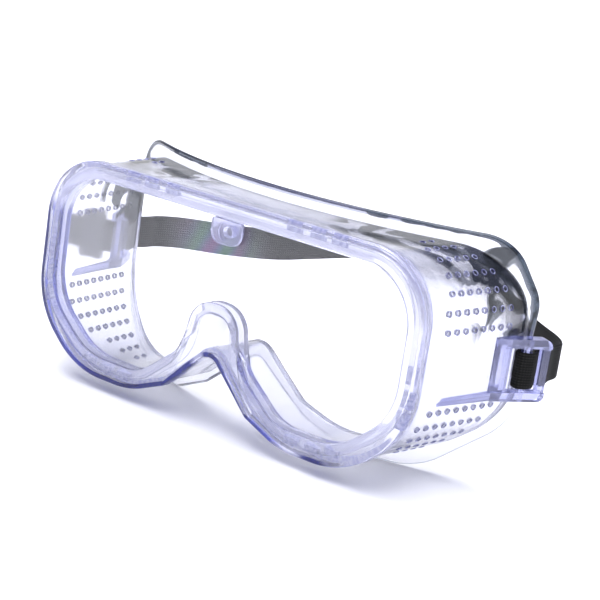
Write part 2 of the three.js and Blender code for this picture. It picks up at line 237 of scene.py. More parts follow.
class ShaderTree(Tree):
    """A material's tree with the few lookups that the finishes share."""

    def __init__(self, name: str) -> None:
        """Starts an empty material.

        Args:
            name: The material's name.
        """
        self.material = bpy.data.materials.new(name)
        self.material.use_nodes = True
        super().__init__(self.material.node_tree)
        self.tree.nodes.clear()

    def number(self, socket: bpy.types.NodeSocket) -> Value:
        """A socket as a Value."""
        return Value(self, socket)

    def attribute(self, name: str) -> Value:
        """A float attribute of the mesh."""
        return self.number(self.add("ShaderNodeAttribute", {"attribute_name": name}).outputs["Fac"])

    def place(self) -> bpy.types.NodeSocket:
        """Object coordinates."""
        return self.add("ShaderNodeTexCoord").outputs["Object"]

    def noise(self, scale: float, detail: float = 2.0, warp: float = 0.0) -> Value:
        """Noise over the object.

        Args:
            scale: Noise scale per metre.
            detail: Octaves.
            warp: How far the noise is twisted.

        Returns:
            The noise's factor.
        """
        node = self.add(
            "ShaderNodeTexNoise",
            None,
            {"Vector": self.place(), "Scale": scale, "Detail": detail, "Distortion": warp},
        )
        return self.number(node.outputs["Fac"])

    def facing(self, blend: float) -> Value:
        """Layer weight: 0 seen square on, 1 at a grazing angle."""
        return self.number(self.add("ShaderNodeLayerWeight", None, {"Blend": blend}).outputs["Facing"])

    def glint(self) -> Value:
        """Share of light a clear skin mirrors, the same on its front and its back."""
        return (self.facing(0.5) ** 5.0 * 0.95 + 0.05).clamped()

    def blend(self, factor: object, first: object, second: object) -> bpy.types.NodeSocket:
        """A mix of two colours.

        Args:
            factor: Share of the second.
            first: Colour or socket.
            second: Colour or socket.

        Returns:
            The colour socket.
        """
        node = self.add("ShaderNodeMix", {"data_type": "RGBA"}, {0: factor, 6: first, 7: second})
        return node.outputs[2]

    def bump(self, height: Value, strength: float, distance: float) -> bpy.types.NodeSocket:
        """A bumped normal.

        Args:
            height: The height field.
            strength: Share of the bump.
            distance: Depth in metres.

        Returns:
            The normal socket.
        """
        node = self.add(
            "ShaderNodeBump", None, {"Height": height, "Strength": strength, "Distance": distance}
        )
        return node.outputs["Normal"]

    def finish(self, surface: bpy.types.NodeSocket) -> bpy.types.Material:
        """Ends the tree in its output.

        Args:
            surface: The shader socket.

        Returns:
            The finished material.
        """
        self.add("ShaderNodeOutputMaterial", None, {"Surface": surface})
        return self.material


# ---- finishes ----------------------------------------------------------------------------------
def rgb(red: float, green: float, blue: float) -> tuple[float, float, float, float]:
    """A linear colour with full alpha."""
    return (red, green, blue, 1.0)


@dataclass(frozen=True)
class ClearVinyl:
    """Soft clear vinyl: nearly clear square on, violet where light runs through its thickness, with
    indigo edge lines and slate streaks that are painted dark reflection.
    """

    name: str = "clear_vinyl"
    body: tuple = rgb(0.81, 0.815, 0.88)
    violet: tuple = rgb(0.48, 0.49, 0.78)
    indigo: tuple = rgb(0.012, 0.016, 0.20)
    slate: tuple = rgb(0.007, 0.012, 0.019)
    swirl: float = 52.0
    grazing: float = 0.34
    clear: float = 0.92
    edge: float = 0.60
    roughness: float = 0.13

    def build(self) -> bpy.types.Material:
        """Makes the material.

        Returns:
            The material.
        """
        t = ShaderTree(self.name)
        edge = t.attribute("edge")
        facing = t.facing(0.45)
        cloud = t.noise(60.0, 3.0)
        swirl = t.noise(self.swirl, 1.5, warp=1.6)
        # Painted dark reflection: where the mesh's dusk share and the swirl noise are high, the colour
        # turns to slate, standing for dark surroundings mirrored in the upper temples and flange.
        painted_reflection = t.attribute("painted_reflection")
        dark_reflection = ((swirl + painted_reflection * 0.13).ramp(0.565, 0.60) * painted_reflection.ramp(0.05, 0.4)).clamped()
        waves = t.noise(210.0, 2.0)
        thick = (facing ** 2.2 * self.grazing + edge * self.edge * (cloud * 0.8 + 0.55)).clamped()
        pale = t.blend(thick.ramp(0.04, 0.55), self.body, self.violet)
        # Edges with a high edge tint run on from violet, the vinyl's own tint through its thickness, to
        # indigo: painted dark reflection lines like those that dark surroundings give clear edges.
        deep = t.blend((edge * (cloud * 0.5 + 0.75)).ramp(0.60, 0.98), pale, self.indigo)
        colour = t.blend(dark_reflection * 0.96, deep, self.slate)
        normal = t.bump(t.noise(120.0, 2.0), 0.25, 0.0004)
        vinyl = t.add(
            "ShaderNodeBsdfPrincipled",
            None,
            {
                "Base Color": colour,
                "Roughness": (waves * 0.06 + self.roughness - 0.03),
                "IOR": 1.53,
                "Transmission Weight": self.clear,
                "Normal": normal,
            },
        )
        return t.finish(vinyl.outputs[0])


@dataclass(frozen=True)
class CutEdge:
    """A cut or moulded edge that shows inside the clear pieces: vents, seam, lens sides, tabs."""

    name: str = "vent_edge"
    dark: tuple = rgb(0.10, 0.10, 0.26)
    pale: tuple = rgb(0.40, 0.42, 0.66)
    alpha: float = 0.70

    def build(self) -> bpy.types.Material:
        """Makes the material.

        Returns:
            The material.
        """
        t = ShaderTree(self.name)
        cloud = t.noise(900.0, 1.0)
        colour = t.blend(cloud.ramp(0.35, 0.65), self.dark, self.pale)
        shader = t.add(
            "ShaderNodeBsdfPrincipled",
            None,
            {"Base Color": colour, "Roughness": 0.2, "Alpha": (cloud * 0.3 + self.alpha).clamped()},
        )
        return t.finish(shader.outputs[0])


@dataclass(frozen=True)
class ClearLens:
    """Polished clear sheet with a light haze and a faint moulding rainbow."""

    name: str = "clear_lens"
    body: tuple = rgb(0.93, 0.94, 0.97)
    haze: float = 0.022
    shine: float = 0.5
    stress: tuple = (0.001, -0.078, 0.060)
    spread: float = 0.026
    rainbow: float = 0.09
    skim: float = 0.30
    dust: float = 0.02

    def build(self) -> bpy.types.Material:
        """Makes the material.

        Returns:
            The material.
        """
        t = ShaderTree(self.name)
        facing = t.facing(0.3)
        flow = t.noise(16.0, 1.0)
        ramp = t.add("ShaderNodeValToRGB", None, {"Fac": (flow * 60.0).sine() * 0.5 + 0.5})
        stops = ramp.color_ramp.elements
        stops[0].color = rgb(0.80, 0.35, 0.85)
        stops[1].color = rgb(0.35, 0.85, 0.45)
        middle = stops.new(0.5)
        middle.color = rgb(0.35, 0.55, 1.0)
        gap = t.add(
            "ShaderNodeVectorMath", {"operation": "DISTANCE"}, {0: t.place(), 1: self.stress}
        )
        patch = (1.0 - t.number(gap.outputs["Value"]) / self.spread).clamped().ramp(0.0, 0.9)
        colour = t.blend(patch * 0.8, self.body, ramp.outputs["Color"])
        dust = t.noise(2600.0, 0.0).ramp(0.74, 0.80)
        skim = facing**3.0 * self.skim
        lens = t.add(
            "ShaderNodeBsdfPrincipled",
            None,
            {
                "Base Color": colour,
                "Roughness": 0.06,
                "IOR": 1.58,
                "Alpha": (skim + patch * self.rainbow + self.haze + dust * self.dust).clamped(),
            },
        )
        gloss = t.add("ShaderNodeBsdfGlossy", None, {"Color": rgb(1, 1, 1), "Roughness": 0.02})
        mixed = t.add(
            "ShaderNodeMixShader",
            None,
            {0: t.glint() * self.shine, 1: lens.outputs[0], 2: gloss.outputs[0]},
        )
        return t.finish(mixed.outputs[0])


@dataclass(frozen=True)
class ElasticWebbing:
    """Black woven elastic: lengthwise ribs crossed by fine picks, paler on the raised threads, with a
    faint sheen.
    """

    name: str = "elastic_webbing"
    yarn: tuple = rgb(0.004, 0.004, 0.004)
    worn: tuple = rgb(0.020, 0.020, 0.018)
    ribs: int = 14
    pick: float = 0.0009

    def build(self) -> bpy.types.Material:
        """Makes the material.

        Returns:
            The material.
        """
        t = ShaderTree(self.name)
        uv = t.add("ShaderNodeUVMap", {"uv_map": "weave"}).outputs[0]
        parts = t.add("ShaderNodeSeparateXYZ", None, {0: uv})
        along = t.number(parts.outputs[0])
        across = t.number(parts.outputs[1])
        rib = (across * (math.tau * self.ribs)).sine() * 0.5 + 0.5
        pick = (along * (math.tau / self.pick) + rib * 2.4).sine() * 0.5 + 0.5
        weave = rib * 0.55 + pick * 0.45
        fuzz = t.noise(700.0, 3.0)
        # The colour runs to the paler one where the weave is raised and the fuzz noise is high.
        colour = t.blend((weave * 0.7 + fuzz * 0.4).ramp(0.35, 1.0), self.yarn, self.worn)
        cloth = t.add(
            "ShaderNodeBsdfPrincipled",
            None,
            {
                "Base Color": colour,
                "Roughness": (0.92 - weave * 0.12),
                "Specular IOR Level": 0.12,
                "Sheen Weight": 0.03,
                "Sheen Roughness": 0.5,
                "Normal": t.bump(weave + fuzz * 0.25, 0.55, 0.00022),
            },
        )
        return t.finish(cloth.outputs[0])


@dataclass(frozen=True)
class MouldedBlack:
    """Black moulded plastic with a fine grain and paler worn patches."""

    name: str = "moulded_black"
    body: tuple = rgb(0.022, 0.022, 0.026)
    worn: tuple = rgb(0.085, 0.085, 0.095)

    def build(self) -> bpy.types.Material:
        """Makes the material.

        Returns:
            The material.
        """
        t = ShaderTree(self.name)
        grain = t.noise(2600.0, 2.0)
        wear = t.noise(300.0, 4.0)
        shader = t.add(
            "ShaderNodeBsdfPrincipled",
            None,
            {
                "Base Color": t.blend(wear.ramp(0.45, 0.8), self.body, self.worn),
                "Roughness": (grain * 0.18 + 0.36),
                "Normal": t.bump(grain, 0.3, 0.00008),
            },
        )
        return t.finish(shader.outputs[0])


@dataclass(frozen=True)
class PaleFloor:
    """Plain white studio paper."""

    name: str = "studio_paper"
    paper: tuple = rgb(0.93, 0.93, 0.93)

    def build(self) -> bpy.types.Material:
        """Makes the material.

        Returns:
            The material.
        """
        t = ShaderTree(self.name)
        tone = t.blend(t.noise(3.0, 2.0), self.paper, rgb(0.95, 0.95, 0.95))
        shader = t.add("ShaderNodeBsdfPrincipled", None, {"Base Color": tone, "Roughness": 0.9})
        return t.finish(shader.outputs[0])


class Finishes:
    """Every finish, made once."""

    def __init__(self) -> None:
        """Builds the materials."""
        self.vinyl = ClearVinyl().build()
        self.lug = ClearVinyl(
            name="lug_vinyl",
            body=rgb(0.80, 0.81, 0.96),
            violet=rgb(0.26, 0.28, 0.66),
            grazing=0.45,
            clear=0.88,
        ).build()
        # The rim's deep navy indigo is painted dark reflection along its edges, strongest on its left
        # and bottom.
        self.rim = ClearVinyl(
            name="rim_vinyl",
            body=rgb(0.86, 0.865, 0.955),
            indigo=rgb(0.0022, 0.0045, 0.17),
            grazing=0.3,
            edge=0.5,
            clear=0.85,
        ).build()
        self.grip = CutEdge(
            name="grip_tab", dark=rgb(0.26, 0.28, 0.60), pale=rgb(0.60, 0.62, 0.88), alpha=0.6
        ).build()
        self.vent = CutEdge().build()
        self.lens_edge = CutEdge(
            name="lens_edge", dark=rgb(0.42, 0.44, 0.75), pale=rgb(0.75, 0.77, 0.95), alpha=0.22
        ).build()
        self.seam = CutEdge(
            name="rim_seam", dark=rgb(0.56, 0.57, 0.86), pale=rgb(0.80, 0.81, 0.97), alpha=1.0
        ).build()
        # The flange's near-black indigo is painted dark reflection along its top edge.
        self.flange = ClearVinyl(
            name="flange_vinyl",
            body=rgb(0.93, 0.935, 0.96),
            grazing=0.16,
            violet=rgb(0.52, 0.54, 0.70),
            indigo=rgb(0.020, 0.022, 0.045),
        ).build()
        self.lens = ClearLens().build()
        self.webbing = ElasticWebbing().build()
        self.plastic = MouldedBlack().build()
        self.floor = PaleFloor().build()


# ---- shapes ------------------------------------------------------------------------------------
@dataclass(frozen=True)
class Corner:
    """A rounded corner of an outline, in millimetres from the middle of the lens opening."""

    x: float
    z: float
    radius: float


class Outline:
    """A closed outline in the XZ plane with rounded corners, the same on both sides."""

    def __init__(self, half: Sequence[Corner]) -> None:
        """Mirrors the corners of the +X half.

        Args:
            half: Corners clockwise from the top.
        """
        left = [Corner(-c.x, c.z, c.radius) for c in reversed(half) if c.x > 1e-6]
        self.corners = [*half, *left]

    def inset(self, distance: float) -> "Outline":
        """A parallel outline.

        Args:
            distance: Millimetres inwards.

        Returns:
            The new outline.
        """
        made = Outline([])
        count = len(self.corners)
        for i, c in enumerate(self.corners):
            before, after = self.corners[i - 1], self.corners[(i + 1) % count]
            a = Vector((c.x - before.x, c.z - before.z)).normalized()
            b = Vector((after.x - c.x, after.z - c.z)).normalized()
            turn = a.x * b.y - a.y * b.x
            bisector = Vector((a.y + b.y, -a.x - b.x)).normalized()
            reach = distance / max(0.2, bisector.x * a.y - bisector.y * a.x)
            radius = c.radius - distance if turn < 0 else c.radius + distance
            made.corners.append(
                Corner(c.x + bisector.x * reach, c.z + bisector.y * reach, max(0.4, radius))
            )
        return made

    def points(self, arc_steps: int = 18, straight_steps: int = 6) -> list[Vector]:
        """Points along the outline; outlines with as many corners give as many points.

        Args:
            arc_steps: Steps in each corner.
            straight_steps: Steps in each straight side.

        Returns:
            Two-dimensional points.
        """
        arcs = []
        count = len(self.corners)
        for i, c in enumerate(self.corners):
            here = Vector((c.x, c.z))
            before = Vector((self.corners[i - 1].x, self.corners[i - 1].z))
            after = Vector((self.corners[(i + 1) % count].x, self.corners[(i + 1) % count].z))
            a, b = (here - before).normalized(), (after - here).normalized()
            turn = math.acos(max(-1.0, min(1.0, a.dot(b))))
            side = math.copysign(1.0, a.x * b.y - a.y * b.x)
            longest = 0.49 * min((here - before).length, (after - here).length)
            cut = min(c.radius * math.tan(turn / 2), longest)
            radius = cut / max(1e-6, math.tan(turn / 2))
            start = here - a * cut
            centre = start + Vector((-a.y, a.x)) * side * radius
            arc = []
            for k in range(arc_steps + 1):
                angle = side * turn * k / arc_steps
                d = start - centre
                arc.append(
                    centre
                    + Vector(
                        (
                            d.x * math.cos(angle) - d.y * math.sin(angle),
                            d.x * math.sin(angle) + d.y * math.cos(angle),
                        )
                    )
                )
            arcs.append(arc)
        made = []
        for i, arc in enumerate(arcs):
            made.extend(arc)
            nxt = arcs[(i + 1) % count][0]
            made.extend(arc[-1].lerp(nxt, k / straight_steps) for k in range(1, straight_steps))
        return made


def evenly(points: Sequence[Vector], count: int) -> list[Vector]:
    """Resamples a closed loop to equal steps along its length, starting at the top middle.

    Args:
        points: The loop.
        count: How many points to give.

    Returns:
        The resampled loop.
    """
    loop = list(points)
    crossing = max(
        (i for i in range(len(loop)) if loop[i - 1].x <= 0 < loop[i].x),
        key=lambda i: loop[i].y,
    )
    a, b = loop[crossing - 1], loop[crossing]
    top = a.lerp(b, -a.x / (b.x - a.x))
    loop = [top, *loop[crossing:], *loop[:crossing], top]
    lengths = [0.0]
    for p, q in zip(loop, loop[1:]):
        lengths.append(lengths[-1] + (q - p).length)
    made, k = [], 0
    for i in range(count):
        want = lengths[-1] * i / count
        while lengths[k + 1] < want:
            k += 1
        share = (want - lengths[k]) / max(1e-9, lengths[k + 1] - lengths[k])
        made.append(loop[k].lerp(loop[k + 1], share))
    return made


@dataclass(frozen=True)
class Sizes:
    """The frame's sizes in millimetres, in its own axes: X out, Y back from the rim, Z up."""

    rim_half: float = 80.5
    rim_top: float = 35.3
    rim_bottom: float = -39.0
    lip: float = 6.0
    nose_half: float = 18.5
    nose_corner: float = -33.0
    nose_apex: float = -15.8
    shell_step: float = 1.2
    shell_wall: float = 1.6
    shell_flare: float = 0.00165
    shell_front: float = 6.9
    face_radius: float = 152.0
    face_depth: float = 28.0
    band_middle: float = -1.9
    band_width: float = 12.2
    band_thickness: float = 1.1
    swing_depth: float = 65.0
    lap: float = 5.0

    def rim(self) -> Outline:
        """The rim's outer outline."""
        return Outline(
            [
                Corner(self.rim_half, self.rim_top, 22),
                Corner(self.rim_half, self.rim_bottom + 18.5, 29),
                Corner(self.rim_half - 21.5, self.rim_bottom, 33),
                Corner(self.nose_half + 14.5, self.rim_bottom, 34),
                Corner(self.nose_half, self.nose_corner, 1.5),
                Corner(1.97, self.nose_apex - 1.84, 5),
            ]
        )

    def opening(self) -> Outline:
        """The lens opening inside the rim's lip."""
        side = self.rim_half - self.lip
        return Outline(
            [
                Corner(side, self.rim_top - self.lip, 18),
                Corner(side, self.rim_bottom + 23.5, 22),
                Corner(side - 20, self.rim_bottom + 7.4, 24),
                Corner(self.nose_half + 11.5, self.rim_bottom + 7.4, 16),
                Corner(11.7, -17.1, 14),
                Corner(9.5, 0.9, 9.5),
            ]
        )

    def flange(self) -> Outline:
        """The face flange's outer outline."""
        half, top, bottom = self.rim_half + 7.7, self.rim_top + 3.5, self.rim_bottom - 4.0
        return Outline(
            [
                Corner(half - 9.5, top, 14),
                Corner(half, top - 18.8, 16),
                Corner(half - 1.7, bottom + 21, 20),
                Corner(half - 26, bottom, 22),
                Corner(self.nose_half + 17.5, bottom, 10),
                Corner(self.nose_half + 3, self.nose_corner - 3.5, 3),
                Corner(0.0, self.nose_apex - 4, 5),
            ]
        )

    def face(self, x: float) -> float:
        """Depth of the face edge at a distance from the middle."""
        return self.face_depth + self.face_radius - math.sqrt(self.face_radius**2 - x * x)

    def flared(self, x: float, y: float) -> float:
        """An X of the shell's outline pushed out by the shell's flare."""
        return x * (1 + self.shell_flare * (y - self.shell_front))


@dataclass(frozen=True)
class Place:
    """Where the frame's own axes start in the row frame, in metres."""

    x: float
    y: float
    z: float

    @staticmethod
    def of_rim(sizes: Sizes) -> "Place":
        """Reads the place from the rim's box."""
        low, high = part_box("rim")
        return Place((low[0] + high[0]) / 2, low[1], high[2] - sizes.rim_top * MM)

    def put(self, x: float, y: float, z: float) -> Vector:
        """A point of the frame's axes, in millimetres, in the row frame."""
        return Vector((self.x + x * MM, self.y + y * MM, self.z + z * MM))


class Grid:
    """A mesh made of a grid of points, with a value at each point for its edge tint and one for its
    painted dark reflection.
    """

    def __init__(self, name: str) -> None:
        """Starts an empty grid."""
        self.name = name
        self.points: list[Vector] = []
        self.edge: list[float] = []
        self.painted_reflection: list[float] = []
        self.faces: list[tuple[int, ...]] = []

    def loft(
        self,
        rows: Sequence[Sequence[Vector]],
        edge: Sequence[Sequence[float]],
        painted_reflection: Sequence[Sequence[float]] | None = None,
    ) -> None:
        """Adds rows joined into a closed skin; each row is a ring, and the last joins the first.

        Args:
            rows: Rings of points, all as long.
            edge: Edge tint of each point.
            painted_reflection: Share of painted dark reflection at each point, or none.
        """
        start, width = len(self.points), len(rows[0])
        for i, (row, tint) in enumerate(zip(rows, edge)):
            self.points.extend(row)
            self.edge.extend(tint)
            self.painted_reflection.extend(painted_reflection[i] if painted_reflection else [0.0] * width)
        count = len(rows)
        for i in range(count):
            for j in range(width):
                a = start + i * width + j
                b = start + i * width + (j + 1) % width
                c = start + ((i + 1) % count) * width + (j + 1) % width
                d = start + ((i + 1) % count) * width + j
                self.faces.append((a, b, c, d))

    def build(self, material: bpy.types.Material, smooth: float = 42.0) -> bpy.types.Object:
        """Makes the object.

        Args:
            material: Its finish.
            smooth: Angle in degrees above which an edge stays sharp.

        Returns:
            The object, at the origin.
        """
        mesh = bpy.data.meshes.new(self.name)
        mesh.from_pydata([tuple(p) for p in self.points], [], self.faces)
        mesh.update()
        tint = mesh.attributes.new("edge", "FLOAT", "POINT")
        tint.data.foreach_set("value", self.edge)
        dark_reflection = mesh.attributes.new("painted_reflection", "FLOAT", "POINT")
        dark_reflection.data.foreach_set("value", self.painted_reflection)
        work = bmesh.new()
        work.from_mesh(mesh)
        bmesh.ops.recalc_face_normals(work, faces=work.faces)
        work.to_mesh(mesh)
        work.free()
        mesh.materials.append(material)
        made = bpy.data.objects.new(self.name, mesh)
        bpy.context.scene.collection.objects.link(made)
        soften(made, smooth)
        return made


def soften(piece: bpy.types.Object, angle: float) -> None:
    """Smooth shading with sharp edges above an angle.

    Args:
        piece: The object.
        angle: Degrees.
    """
    mesh = piece.data
    mesh.polygons.foreach_set("use_smooth", [True] * len(mesh.polygons))
    mesh.set_sharp_from_angle(angle=math.radians(angle))
    mesh.update()


def cad_copy(
    node: str, name: str, material: bpy.types.Material, bevel: float, edge: float
) -> bpy.types.Object:
    """A merged copy of a CAD node with rounded edges.

    Args:
        node: The CAD node.
        name: The new piece's name.
        material: Its finish.
        bevel: Edge radius in metres.
        edge: Edge tint given to the bevelled points.

    Returns:
        The new object.
    """
    mesh = frame["nodes"][node].data.copy()
    mesh.name = name
    work = bmesh.new()
    work.from_mesh(mesh)
    bmesh.ops.remove_doubles(work, verts=work.verts, dist=SAME_POINT)
    bmesh.ops.dissolve_limit(work, angle_limit=FLAT_FOLD, verts=work.verts, edges=work.edges)
    folded = [e for e in work.edges if len(e.link_faces) == 2]
    sharp = [e for e in folded if e.calc_face_angle(0.0) > SHARP_FOLD]
    layer = work.verts.layers.float.new("edge")
    for vert in work.verts:
        vert[layer] = PLAIN_TINT
    made = bmesh.ops.bevel(
        work, geom=sharp, offset=bevel, segments=2, affect="EDGES", profile=0.6, clamp_overlap=True
    )
    for vert in made["verts"]:
        vert[layer] = edge
    work.to_mesh(mesh)
    work.free()
    mesh.materials.clear()
    mesh.materials.append(material)
    piece = bpy.data.objects.new(name, mesh)
    bpy.context.scene.collection.objects.link(piece)
    soften(piece, 40.0)
    broad = (4 * bevel) ** 2
    for polygon in mesh.polygons:
        if polygon.area > broad:
            polygon.use_smooth = False
    return piece


class ScatterTree(Tree):
    """A Geometry Nodes tree that puts one small shape on every point of a mesh."""

    def __init__(self, name: str, sizes: dict[str, float]) -> None:
        """Starts the tree with its inputs.

        Args:
            name: The tree's name.
            sizes: Named inputs and their default values.
        """
        super().__init__(bpy.data.node_groups.new(name, "GeometryNodeTree"))
        face = self.tree.interface
        face.new_socket("Geometry", in_out="INPUT", socket_type="NodeSocketGeometry")
        self.ids: dict[str, str] = {}
        for key, value in sizes.items():
            made = face.new_socket(key, in_out="INPUT", socket_type="NodeSocketFloat")
            made.default_value = value
            self.ids[key] = made.identifier
        dress = face.new_socket("Finish", in_out="INPUT", socket_type="NodeSocketMaterial")
        self.ids["Finish"] = dress.identifier
        face.new_socket("Geometry", in_out="OUTPUT", socket_type="NodeSocketGeometry")
        self.source = self.add("NodeGroupInput")

    def turned(self) -> bpy.types.NodeSocket:
        """The rotation that takes Z to each point's own facing, and X along its run."""
        facing = self.add(
            "GeometryNodeInputNamedAttribute", {"data_type": "FLOAT_VECTOR"}, {"Name": "facing"}
        )
        run = self.add("GeometryNodeInputNamedAttribute", {"data_type": "FLOAT_VECTOR"}, {"Name": "run"})
        first = self.add(
            "FunctionNodeAlignRotationToVector", {"axis": "Z"}, {"Vector": facing.outputs[0]}
        )
        second = self.add(
            "FunctionNodeAlignRotationToVector",
            {"axis": "X", "pivot_axis": "Z"},
            {"Rotation": first.outputs[0], "Vector": run.outputs[0]},
        )
        return second.outputs[0]

    def scatter(self, shape: bpy.types.NodeSocket) -> None:
        """Instances the shape on the points and ends the tree.

        Args:
            shape: The geometry to repeat.
        """
        placed = self.add(
            "GeometryNodeInstanceOnPoints",
            None,
            {"Points": self.source.outputs["Geometry"], "Instance": shape, "Rotation": self.turned()},
        )
        real = self.add("GeometryNodeRealizeInstances", None, {0: placed.outputs[0]})
        dressed = self.add(
            "GeometryNodeSetMaterial",
            None,
            {"Geometry": real.outputs[0], "Material": self.source.outputs["Finish"]},
        )
        self.add("NodeGroupOutput", None, {0: dressed.outputs[0]})


@dataclass(frozen=True)
class Spot:
    """One place for a repeated shape: where it is, where it faces and which way it runs."""

    at: Vector
    facing: Vector
    run: Vector


def scattered(
    name: str, spots: Sequence[Spot], tree: ScatterTree, values: dict[str, object], smooth: float = 40.0
) -> bpy.types.Object:
    """Runs a scatter tree on a list of spots and keeps the result as a plain mesh.

    Args:
        name: The piece's name.
        spots: The places.
        tree: The tree.
        values: Input name to value.
        smooth: Angle above which edges stay sharp.

    Returns:
        The object, at the origin, with no modifier.
    """
    mesh = bpy.data.meshes.new(name + "_points")
    mesh.from_pydata([tuple(s.at) for s in spots], [], [])
    for key in ("facing", "run"):
        layer = mesh.attributes.new(key, "FLOAT_VECTOR", "POINT")
        layer.data.foreach_set("vector", [v for s in spots for v in getattr(s, key)])
    seed = bpy.data.objects.new(name + "_seed", mesh)
    bpy.context.scene.collection.objects.link(seed)
    modifier = seed.modifiers.new("scatter", "NODES")
    modifier.node_group = tree.tree
    for key, value in values.items():
        modifier[tree.ids[key]] = value
    ready = seed.evaluated_get(bpy.context.evaluated_depsgraph_get())
    result = bpy.data.meshes.new_from_object(ready)
    result.name = name
    piece = bpy.data.objects.new(name, result)
    bpy.context.scene.collection.objects.link(piece)
    bpy.data.objects.remove(seed)
    soften(piece, smooth)
    return piece


def hand_over(
    piece: bpy.types.Object, body: Body, replaces: Iterable[str] = ()
) -> None:
    """Gives a finished piece its body and the CAD nodes it stands for.

    Args:
        piece: The object.
        body: The body it moves with.
        replaces: CAD nodes it stands for.
    """
    names = tuple(replaces)
    if names:
        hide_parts(*names)
    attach(piece, body.value)
    LOG.info("%s: %d faces", piece.name, len(piece.data.polygons))


# ---- frame moulding ----------------------------------------------------------------------------
@dataclass
class Rim:
    """The channel that grips the lens: a front lip, a side band with a step, and a rear lip."""

    sizes: Sizes
    place: Place
    finishes: Finishes
    profile: tuple[tuple[str, float, float, float], ...] = (
        ("out", 2.35, 0.00, 0.05),
        ("out", 1.60, 0.00, 0.25),
        ("out", 0.55, 0.10, 0.70),
        ("out", 0.16, 0.42, 1.00),
        ("out", 0.00, 1.00, 0.95),
        ("out", 0.00, 2.40, 0.50),
        ("out", 0.00, 3.90, 0.60),
        ("out", 0.10, 4.30, 0.95),
        ("out", 0.60, 4.50, 0.95),
        ("out", 0.75, 4.80, 0.60),
        ("out", 0.75, 6.10, 0.70),
        ("out", 1.10, 6.60, 0.90),
        ("out", 2.40, 6.60, 0.35),
        ("in", 1.10, 6.60, 0.20),
        ("in", 0.25, 6.40, 0.45),
        ("in", 0.00, 5.90, 0.45),
        ("in", 0.00, 4.70, 0.40),
        ("in", 0.30, 4.22, 0.45),
        ("in", 4.10, 4.20, 0.25),
        ("in", 4.30, 3.90, 0.45),
        ("in", 4.30, 1.90, 0.45),
        ("in", 4.10, 1.60, 0.30),
        ("in", 0.40, 1.60, 0.30),
        ("in", 0.00, 1.20, 0.60),
        ("in", 0.00, 0.55, 0.75),
        ("in", 0.22, 0.14, 0.60),
        ("in", 0.80, 0.00, 0.20),
        ("in", 2.45, 0.00, 0.05),
        ("in", 2.65, 0.14, 0.30),
        ("in", 3.10, 0.14, 0.25),
        ("in", 3.30, 0.00, 0.08),
    )

    def build(self) -> None:
        """Sweeps the profile between the outer outline and the lens opening."""
        outer = self.sizes.rim().points()
        inner = self.sizes.opening().points()
        grid = Grid("goggles_rim")
        rows, tints = [], []
        for o, i in zip(outer, inner):
            span = (i - o).length
            away = (o - i).normalized()
            # low tints the outer band of the rim's left (-X) and bottom edges toward indigo: painted
            # shade on those sides.
            low = 2.1 * max(0.0, -0.74 * away.x - 0.67 * away.y)
            row, tint = [], []
            for tied, distance, depth, edge in self.profile:
                share = distance / span if tied == "out" else 1 - distance / span
                p = o.lerp(i, share)
                row.append(self.place.put(p.x, depth, p.y))
                skin = tied == "out" and distance < 2.0
                tint.append(max(edge * 0.55, low) if skin else edge * 0.6)
            rows.append(row)
            tints.append(tint)
        grid.loft(rows, tints)
        rim = grid.build(self.finishes.rim, smooth=38.0)
        hand_over(rim, Body.FRAME, ["rim"])

    def tabs(self) -> None:
        """The groups of three small grip tabs that show in the lip."""
        s = self.sizes
        side = s.rim_half - 3.1
        places = []
        for x in (26.0, 35.5, 44.0):
            places.append((x, s.rim_top - 2.9, 0.0))
        for x in (37.0, 45.5, 53.5):
            places.append((x, s.rim_bottom + (4.0 if x < 50 else 5.3), 0.0))
        for z in (-1.0, -8.6, -15.6):
            places.append((side - (0.0 if z > -10 else 0.8), z, 90.0))
        spots = []
        for x, z, turn in places:
            for sign in (1, -1):
                run = Vector((math.cos(math.radians(turn)), 0, math.sin(math.radians(turn))))
                spots.append(Spot(self.place.put(sign * x, 2.9, z), Vector((0, -1, 0)), run))
        tree = ScatterTree("grip_tabs", {"Length": 0.0055, "Height": 0.0024, "Depth": 0.0016})
        block = tree.add(
            "GeometryNodeMeshCube",
            None,
            {
                "Size": tree.add(
                    "ShaderNodeCombineXYZ",
                    None,
                    {
                        0: tree.source.outputs["Length"],
                        1: tree.source.outputs["Height"],
                        2: tree.source.outputs["Depth"],
                    },
                ).outputs[0]
            },
        )
        tree.scatter(block.outputs["Mesh"])
        tabs = scattered("rim_grip_tabs", spots, tree, {"Finish": self.finishes.grip})
        hand_over(tabs, Body.FRAME)


